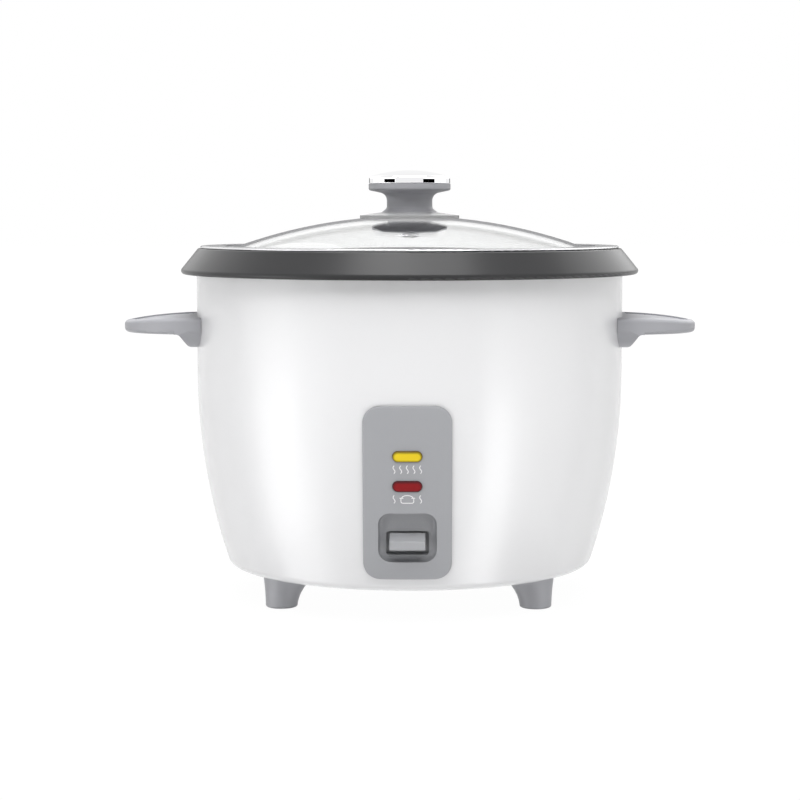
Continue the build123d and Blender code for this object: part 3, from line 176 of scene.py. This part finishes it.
METAL = (("Metallic", 1.0),)
FINISHES = {
    "enamel_white": Finish((0.80, 0.80, 0.81), 0.30, 260.0, 30 * MICRON, 0.12, 0.004, 0.03,
                           (("Coat Weight", 1.0), ("Coat Roughness", 0.22))),
    "grey_plastic": Finish((0.36, 0.362, 0.385), 0.42, 1600.0, 20 * MICRON, 0.25, 0.015, 0.04),
    "panel_plastic": Finish((0.355, 0.36, 0.378), 0.45, 1600.0, 20 * MICRON, 0.25, 0.012, 0.04),
    "key_plastic": Finish((0.37, 0.375, 0.39), 0.36, 1600.0, 20 * MICRON, 0.2, 0.01, 0.04),
    "pot_coating": Finish((0.026, 0.026, 0.027), 0.30, 1400.0, 20 * MICRON, 0.3, 0.05, 0.04,
                          (("Specular IOR Level", 0.27),)),
    "polished_steel": Finish((0.64, 0.64, 0.65), 0.22, 900.0, 10 * MICRON, 0.1, 0.01, 0.04, METAL),
    "chrome_cap": Finish((0.93, 0.93, 0.94), 0.03, 200.0, 10 * MICRON, 0.03, 0.002, 0.01, METAL),
    "pale_plastic": Finish((0.38, 0.38, 0.385), 0.25, 900.0, 10 * MICRON, 0.15, 0.01, 0.04),
    "dark_silicone": Finish((0.09, 0.09, 0.093), 0.55, 1200.0, 20 * MICRON, 0.3, 0.04, 0.05),
    "bright_liner": Finish((0.80, 0.80, 0.81), 0.30, 700.0, 10 * MICRON, 0.2, 0.02, 0.06, METAL),
    "pressed_steel": Finish((0.55, 0.55, 0.56), 0.34, 500.0, 10 * MICRON, 0.2, 0.04, 0.06, METAL),
    "steel_fasteners": Finish((0.58, 0.58, 0.60), 0.28, 900.0, 10 * MICRON, 0.2, 0.03, 0.05, METAL),
    "spring_steel": Finish((0.45, 0.45, 0.46), 0.3, 900.0, 10 * MICRON, 0.2, 0.03, 0.05, METAL),
    "brass_terminals": Finish((0.75, 0.55, 0.22), 0.3, 900.0, 10 * MICRON, 0.2, 0.04, 0.06, METAL),
    "ferrite_black": Finish((0.04, 0.04, 0.045), 0.6, 1500.0, 30 * MICRON, 0.4, 0.1, 0.06),
    "ceramic_white": Finish((0.75, 0.74, 0.70), 0.6, 1500.0, 20 * MICRON, 0.3, 0.03, 0.05),
    "black_plastic": Finish((0.02, 0.02, 0.022), 0.45, 1500.0, 20 * MICRON, 0.3, 0.05, 0.05),
    "white_plastic": Finish((0.70, 0.70, 0.68), 0.5, 1500.0, 20 * MICRON, 0.3, 0.02, 0.05),
    "heater_foil": Finish((0.7, 0.7, 0.71), 0.4, 300.0, 50 * MICRON, 0.4, 0.04, 0.08, METAL),
    "rubber_pad": Finish((0.05, 0.05, 0.05), 0.8, 1500.0, 30 * MICRON, 0.4, 0.08, 0.05),
    "lamp_glass": Finish((0.95, 0.9, 0.85), 0.05, 300.0, 10 * MICRON, 0.05, 0.0, 0.02,
                         (("Transmission Weight", 0.9), ("IOR", 1.45))),
    "lead_brown": Finish((0.12, 0.05, 0.02), 0.5, 900.0, 20 * MICRON, 0.3, 0.05, 0.05),
    "lead_blue": Finish((0.03, 0.08, 0.32), 0.5, 900.0, 20 * MICRON, 0.3, 0.05, 0.05),
    "lead_green": Finish((0.20, 0.40, 0.05), 0.5, 900.0, 20 * MICRON, 0.3, 0.05, 0.05),
    "lead_white": Finish((0.72, 0.72, 0.69), 0.7, 2500.0, 50 * MICRON, 0.5, 0.04, 0.05),
}
CLEAR_GLASS = Finish((0.99, 0.995, 0.993), 0.01, 30.0, 20 * MICRON, 0.02, 0.0, 0.005,
                     (("Transmission Weight", 1.0), ("IOR", 1.45)))
AMBER = Finish((0.80, 0.60, 0.018), 0.22, 300.0, 10 * MICRON, 0.05, 0.03, 0.03,
               (("Specular IOR Level", 0.2),))
RED = AMBER._replace(color=(0.26, 0.006, 0.009))
WHITE_PRINT = Finish((0.80, 0.80, 0.80), 0.5, 2000.0, 10 * MICRON, 0.2, 0.01, 0.04)

# Coloured lenses: material, node, look of the painted highlight in the middle, colour of the
# painted shade at the edge.
LENSES = (
    ("amber_lens", "warm_lens", AMBER, (0.16, 0.11, 0.012)),
    ("red_lens", "cook_lens", RED, (0.075, 0.010, 0.014)),
)

# Shade painted into the base colour in hollows: material, reach, darkest shade, openness at which
# it is reached.
PAINTED_HOLLOW_SHADE = (
    ("enamel_white", 6 * MM, 0.75, 0.0),
    ("panel_plastic", 16 * MM, 0.74, 0.8),
    ("key_plastic", 4 * MM, 0.45, 0.0),
)


# ---- Camera and studio ------------------------------------------------------------------------

def add_object(name, data):
    obj = bpy.data.objects.new(name, data)
    scene.collection.objects.link(obj)
    return obj


def around(distance, azimuth, elevation=0.0, height=0.0):
    """Place at a distance, azimuth and elevation from a point at a height on the object's axis."""
    turn, rise = math.radians(azimuth), math.radians(elevation)
    level = distance * math.cos(rise)
    return math.sin(turn) * level, -math.cos(turn) * level, height + math.sin(rise) * distance


def make_camera():
    data = bpy.data.cameras.new("camera")
    data.lens = CAMERA_LENS
    data.sensor_width = CAMERA_SENSOR
    data.shift_x = CAMERA_SHIFT
    data.clip_end = CAMERA_REACH
    camera = add_object("camera", data)
    camera.location = around(CAMERA_DISTANCE, CAMERA_AZIMUTH, height=CAMERA_HEIGHT)
    tilt, turn = math.radians(90.0 - CAMERA_PITCH), math.radians(CAMERA_AZIMUTH)
    camera.rotation_euler = (tilt, 0.0, turn)
    scene.camera = camera


def make_light(name, place, target, size, power):
    """Softbox at a place, facing a target, that the camera doesn't see."""
    data = bpy.data.lights.new(name, "AREA")
    data.shape = "RECTANGLE"
    data.size, data.size_y = size
    data.energy = power
    light = add_object(name, data)
    light.location = place
    facing = Vector(target) - Vector(place)
    light.rotation_euler = facing.to_track_quat("-Z", "Y").to_euler()
    light.visible_camera = False
    return light


def make_glint(name, azimuth, elevation, size, radiance, target):
    """Softbox that only reflections show."""
    place = around(GLINT_DISTANCE, azimuth, elevation, target[2])
    light = make_light(name, place, target, size, radiance * math.pi * size[0] * size[1])
    light.visible_diffuse = False
    light.visible_transmission = False


def make_card(name, azimuth, width, level):
    """Upright dark card about a level, shown only by reflections."""
    centre = Vector(around(CARD_DISTANCE, azimuth))
    along = Vector(around(width / 2, azimuth + 90.0))
    low, high = level - CARD_HEIGHT / 2, level + CARD_HEIGHT / 2
    sides = (centre - along, centre + along, centre + along, centre - along)
    corners = [(side.x, side.y, z) for side, z in zip(sides, (low, low, high, high))]
    mesh = bpy.data.meshes.new(name)
    mesh.from_pydata(corners, [], [(0, 1, 2, 3)])
    card = add_object(name, mesh)
    for ray in ("camera", "diffuse", "transmission", "volume_scatter"):
        setattr(card, f"visible_{ray}", False)
    mesh.materials.append(plain("card_black", (0.0, 0.0, 0.0), 1.0))
    card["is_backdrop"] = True


def make_world():
    """Even white surroundings: each kind of ray sees its own strength."""
    world = bpy.data.worlds.new("studio")
    scene.world = world
    world.use_nodes = True
    tree = world.node_tree
    tree.nodes.clear()
    output = tree.nodes.new("ShaderNodeOutputWorld")
    rays = tree.nodes.new("ShaderNodeLightPath")
    shader = background(tree, SEEN_WORLD)
    kinds = {"Diffuse": FILL_WORLD, "Glossy": GLOSS_WORLD, "Transmission": THROUGH_WORLD}
    for kind, strength in kinds.items():
        is_kind = rays.outputs[f"Is {kind} Ray"]
        shader = mix_shaders(tree, is_kind, shader, background(tree, strength))
    tree.links.new(shader, output.inputs["Surface"])


def background(tree, strength):
    """White background of a strength."""
    node = tree.nodes.new("ShaderNodeBackground")
    node.inputs["Color"].default_value = (1.0, 1.0, 1.0, 1.0)
    node.inputs["Strength"].default_value = strength
    return node.outputs["Background"]


def make_floor():
    """White sweep: pure white to the camera but for a faint contact shadow painted into its glow.
    """
    mat = plain("floor_white", FLOOR_COLOR, FLOOR_ROUGHNESS)
    tree = mat.node_tree
    rays = tree.nodes.new("ShaderNodeLightPath")
    glow = tree.nodes.new("ShaderNodeEmission")
    strength = spread(tree, occlusion(tree, CONTACT_REACH), PAINTED_CONTACT_SHADE, FLOOR_GLOW)
    tree.links.new(strength, glow.inputs["Strength"])
    surface = mix_shaders(tree, rays.outputs["Is Camera Ray"],
                          tree.nodes["Principled BSDF"].outputs["BSDF"], glow.outputs["Emission"])
    tree.links.new(surface, tree.nodes["Material Output"].inputs["Surface"])
    bpy.ops.mesh.primitive_circle_add(vertices=FLOOR_SIDES, radius=FLOOR_RADIUS, fill_type="NGON")
    floor = bpy.context.active_object
    floor.name = "floor"
    floor.data.materials.append(mat)
    floor.visible_glossy = False
    floor.visible_shadow = False
    floor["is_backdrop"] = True


# ---- Shader nodes -----------------------------------------------------------------------------

def new_material(name):
    mat = bpy.data.materials.new(name)
    mat.use_nodes = True
    return mat


def plain(name, color, roughness):
    """Material of one colour without shine."""
    mat = new_material(name)
    inputs = mat.node_tree.nodes["Principled BSDF"].inputs
    inputs["Base Color"].default_value = (*color, 1.0)
    inputs["Roughness"].default_value = roughness
    inputs["Specular IOR Level"].default_value = 0.0
    return mat


def mix_shaders(tree, factor, first, second):
    mix = tree.nodes.new("ShaderNodeMixShader")
    tree.links.new(factor, mix.inputs["Fac"])
    tree.links.new(first, mix.inputs[1])
    tree.links.new(second, mix.inputs[2])
    return mix.outputs["Shader"]


def spread(tree, source, low, high, start=0.0, end=1.0):
    """Map a value between a start and an end onto a range."""
    node = tree.nodes.new("ShaderNodeMapRange")
    limits = {"From Min": start, "From Max": end, "To Min": low, "To Max": high}
    for limit, value in limits.items():
        node.inputs[limit].default_value = value
    tree.links.new(source, node.inputs["Value"])
    return node.outputs["Result"]


def color_ramp(tree, source, easing, *stops):
    """Colour that follows a value through two stops, each a position and a colour."""
    node = tree.nodes.new("ShaderNodeValToRGB")
    node.color_ramp.interpolation = easing
    for element, (position, color) in zip(node.color_ramp.elements, stops):
        element.position = position
        element.color = (*color, 1.0)
    tree.links.new(source, node.inputs["Fac"])
    return node.outputs["Color"]


def maths(tree, operation, first, second=None):
    """One Math node, each input a socket or a number."""
    node = tree.nodes.new("ShaderNodeMath")
    node.operation = operation
    for socket, value in zip(node.inputs, (first, second)):
        if isinstance(value, bpy.types.NodeSocket):
            tree.links.new(value, socket)
        elif value is not None:
            socket.default_value = value
    return node.outputs["Value"]


def own_place(tree):
    """Place on the piece in its own coordinates."""
    return tree.nodes.new("ShaderNodeTexCoord").outputs["Object"]


def noise(tree, scale, detail):
    node = tree.nodes.new("ShaderNodeTexNoise")
    node.inputs["Scale"].default_value = scale
    node.inputs["Detail"].default_value = detail
    tree.links.new(own_place(tree), node.inputs["Vector"])
    return node.outputs["Fac"]


def occlusion(tree, reach):
    """Openness of the surroundings within a reach: 1 in the open, less in corners."""
    node = tree.nodes.new("ShaderNodeAmbientOcclusion")
    node.samples = OCCLUSION_SAMPLES
    node.inputs["Distance"].default_value = reach
    return node.outputs["AO"]


def replace_color(tree, source):
    """Feed the base colour from a source instead of the plain mottle."""
    shader = tree.nodes["Principled BSDF"]
    mottle = shader.inputs["Base Color"].links[0].from_node
    tree.links.new(source, shader.inputs["Base Color"])
    tree.nodes.remove(mottle)


# ---- Materials --------------------------------------------------------------------------------

def finish(name, look):
    """Principled material with fine relief, faint colour variation and uneven roughness."""
    mat = new_material(name)
    tree = mat.node_tree
    shader = tree.nodes["Principled BSDF"]
    for socket, value in look.sockets:
        shader.inputs[socket].default_value = value
    bump = tree.nodes.new("ShaderNodeBump")
    bump.inputs["Strength"].default_value = look.grain_strength
    bump.inputs["Distance"].default_value = look.grain_depth
    tree.links.new(noise(tree, look.grain_scale, GRAIN_DETAIL), bump.inputs["Height"])
    tree.links.new(bump.outputs["Normal"], shader.inputs["Normal"])
    cloud = noise(tree, MOTTLE_SCALE, MOTTLE_DETAIL)
    darker = [channel * (1 - look.mottle) for channel in look.color]
    lighter = [min(1.0, channel * (1 + look.mottle)) for channel in look.color]
    blend = tree.nodes.new("ShaderNodeMix")
    blend.data_type = "RGBA"
    blend.inputs["A"].default_value = (*darker, 1.0)
    blend.inputs["B"].default_value = (*lighter, 1.0)
    tree.links.new(cloud, blend.inputs["Factor"])
    tree.links.new(blend.outputs["Result"], shader.inputs["Base Color"])
    smoothest, roughest = look.roughness - look.rough_spread, look.roughness + look.rough_spread
    tree.links.new(spread(tree, cloud, smoothest, roughest), shader.inputs["Roughness"])
    return mat


def glass_with_painted_edge(name, look, shaded_edge_color):
    """Clear glass with a soft grey line painted along its grazing edges, standing in for the dark
    refraction that thick pressed glass shows.
    """
    mat = finish(name, look)
    tree = mat.node_tree
    node = tree.nodes.new("ShaderNodeLayerWeight")
    node.inputs["Blend"].default_value = FACING_BLEND
    facing = node.outputs["Facing"]
    stops = ((EDGE_START, look.color), (EDGE_FULL, shaded_edge_color))
    replace_color(tree, color_ramp(tree, facing, "LINEAR", *stops))
    inputs = tree.nodes["Principled BSDF"].inputs
    for socket, clear in (("Transmission Weight", 1.0), ("Specular IOR Level", CLEAR_SPECULAR)):
        tree.links.new(spread(tree, facing, clear, 0.0, EDGE_START, EDGE_FULL), inputs[socket])
    return mat


def lens_finish(name, node, look, shaded_edge_color):
    """Coloured lens with a painted highlight a little below its middle and painted shade towards
    its edge.
    """
    mat = finish(name, look)
    tree = mat.node_tree
    low, high = (Vector(corner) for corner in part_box(node))
    centre = (low + high) / 2
    straight = (high.x - low.x - (high.z - low.z)) / 2
    axes = tree.nodes.new("ShaderNodeSeparateXYZ")
    tree.links.new(own_place(tree), axes.inputs["Vector"])
    across = maths(tree, "SUBTRACT", maths(tree, "ABSOLUTE", axes.outputs["X"]), straight)
    across = maths(tree, "POWER", maths(tree, "MAXIMUM", across, 0.0), 2.0)
    upward = maths(tree, "SUBTRACT", axes.outputs["Z"], centre.z - LENS_HIGHLIGHT_DROP)
    upward = maths(tree, "POWER", maths(tree, "ABSOLUTE", upward), 2.0)
    reach = maths(tree, "SQRT", maths(tree, "ADD", across, upward))
    share = maths(tree, "DIVIDE", reach, LENS_HEIGHT / 2)
    stops = ((LENS_HIGHLIGHT_SHARE, look.color), (1.0, shaded_edge_color))
    replace_color(tree, color_ramp(tree, share, "EASE", *stops))
    return mat


def paint_hollow_shade(mat, reach, darkest, closed):
    """Darken the base colour in corners and hollows: painted shade, deepest where the surroundings
    close in.
    """
    tree = mat.node_tree
    color = tree.nodes["Principled BSDF"].inputs["Base Color"]
    source = color.links[0].from_socket
    multiply = tree.nodes.new("ShaderNodeMix")
    multiply.data_type = "RGBA"
    multiply.blend_type = "MULTIPLY"
    multiply.inputs["Factor"].default_value = 1.0
    tree.links.new(source, multiply.inputs["A"])
    shade = spread(tree, occlusion(tree, reach), darkest, 1.0, closed)
    tree.links.new(shade, multiply.inputs["B"])
    tree.links.new(multiply.outputs["Result"], color)


def make_palette():
    """All materials of the CAD nodes, by the name of their slot."""
    palette = {name: finish(name, look) for name, look in FINISHES.items()}
    for name, node, look, shaded_edge_color in LENSES:
        palette[name] = lens_finish(name, node, look, shaded_edge_color)
    palette["clear_glass"] = glass_with_painted_edge("clear_glass", CLEAR_GLASS, GLASS_EDGE_SHADE)
    # Painted shade in the hollows of the enamel, the panel and the key.
    for name, reach, darkest, closed in PAINTED_HOLLOW_SHADE:
        paint_hollow_shade(palette[name], reach, darkest, closed)
    return palette


# ---- Printed marks on the panel ---------------------------------------------------------------

def heat_line(place):
    """Rising S-curve at a place in the row of the mark, as (x, z) points about its middle."""
    shares = [i / CURVE_STEPS for i in range(CURVE_STEPS + 1)]
    return [(MARK_PITCH * place + WAVE_WIDTH / 2 * math.sin(2 * math.pi * t),
             MARK_HEIGHT * (t - 0.5)) for t in shares]


def arc(centre, radius_x, radius_z, start, end):
    """Part of an ellipse, as (x, z) points."""
    turns = [start + (end - start) * i / CURVE_STEPS for i in range(CURVE_STEPS + 1)]
    angles = [math.radians(turn) for turn in turns]
    return [(centre[0] + radius_x * math.cos(angle), centre[1] + radius_z * math.sin(angle))
            for angle in angles]


def lidded_pot():
    """Brim, body and lid of a pot, as paths about the middle of the mark."""
    foot, brim = -MARK_HEIGHT / 2, POT_BRIM_SHARE * MARK_HEIGHT / 2
    wall = POT_HALF_WIDTH * POT_WALL_SHARE
    corner_x, corner_z = wall - POT_CORNER, foot + POT_CORNER
    body = [(-wall, brim), (-wall, corner_z)]
    body += arc((-corner_x, corner_z), POT_CORNER, POT_CORNER, 180.0, 270.0)
    body += arc((corner_x, corner_z), POT_CORNER, POT_CORNER, 270.0, 360.0)
    body += [(wall, brim)]
    lid = arc((0.0, brim), POT_HALF_WIDTH * POT_LID_SHARE, MARK_HEIGHT / 2 - brim, 0.0, 180.0)
    return [[(-POT_HALF_WIDTH, brim), (POT_HALF_WIDTH, brim)], body, lid]


def stroke(path, half_width):
    """Left side, right side, tip and tail of a line with pointed ends, as lists of points."""
    path = [Vector(point) for point in path]
    last = len(path) - 1
    along = [(path[min(i + 1, last)] - path[max(i - 1, 0)]).normalized() for i in range(last + 1)]
    side = [Vector((-a.y, a.x)) * half_width for a in along]
    left = [point + s for point, s in zip(path, side)]
    right = [point - s for point, s in zip(path, side)]
    return left, right, [path[-1] + along[-1] * half_width], [path[0] - along[0] * half_width]


def lay_on(surface, x, z):
    """Point on the panel's front at a place, lifted by the print's thickness."""
    hit, normal, _, _ = surface.ray_cast(PRINT_START + Vector((x, 0.0, z)), PRINT_WAY)
    return hit + normal * PRINT_LIFT


def print_mark(name, surface, centre_z, strokes, material):
    """White printed pictogram made of strokes, following the panel's face."""
    mesh = bmesh.new()
    for path in strokes:
        left, right, tip, tail = (
            [mesh.verts.new(lay_on(surface, point.x, centre_z + point.y)) for point in row]
            for row in stroke(path, PRINT_WIDTH / 2)
        )
        for i in range(len(left) - 1):
            mesh.faces.new((left[i], right[i], right[i + 1], left[i + 1]))
        mesh.faces.new((left[-1], right[-1], tip[0]))
        mesh.faces.new((right[0], left[0], tail[0]))
    bmesh.ops.recalc_face_normals(mesh, faces=mesh.faces)
    data = bpy.data.meshes.new(name)
    mesh.to_mesh(data)
    mesh.free()
    mark = add_object(name, data)
    data.materials.append(material)
    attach(mark, "root")


def print_panel_marks(material):
    """Heat lines under the upper lens, a lidded pot between heat lines under the lower one."""
    panel = nodes["control_panel"]
    surface = BVHTree.FromObject(panel, bpy.context.evaluated_depsgraph_get())
    warm = [heat_line(place) for place in WARM_LINES]
    cook = lidded_pot() + [heat_line(place) for place in COOK_LINES]
    marks = (("warm_mark", "warm_lens", warm), ("cook_mark", "cook_lens", cook))
    for name, lens, strokes in marks:
        low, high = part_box(lens)
        print_mark(name, surface, (low[2] + high[2]) / 2 - MARK_DROP, strokes, material)


# ---- Scene ------------------------------------------------------------------------------------

make_camera()
make_world()
make_floor()

palette = make_palette()
for part in frame["record"]["subparts"]:
    for slot in nodes[part["node"]].material_slots:
        slot.material = palette[part["material_slot"]]

print_panel_marks(finish("white_print", WHITE_PRINT))

high_corner = Vector(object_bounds()[1])
middle = (0.0, 0.0, high_corner.z / 2)
for number, (azimuth, power) in enumerate(STRIPS):
    place = around(STRIP_DISTANCE, azimuth, height=middle[2])
    make_light(f"strip_{number}", place, middle, STRIP_SIZE, power)
for name, place, size, power, reflected in SOFTBOXES:
    make_light(name, place, middle, size, power).visible_glossy = reflected
for name, azimuth, elevation, size, radiance in GLINTS:
    make_glint(name, azimuth, elevation, size, radiance, middle)
for name, azimuth, width in CARDS:
    make_card(name, azimuth, width, high_corner.z)
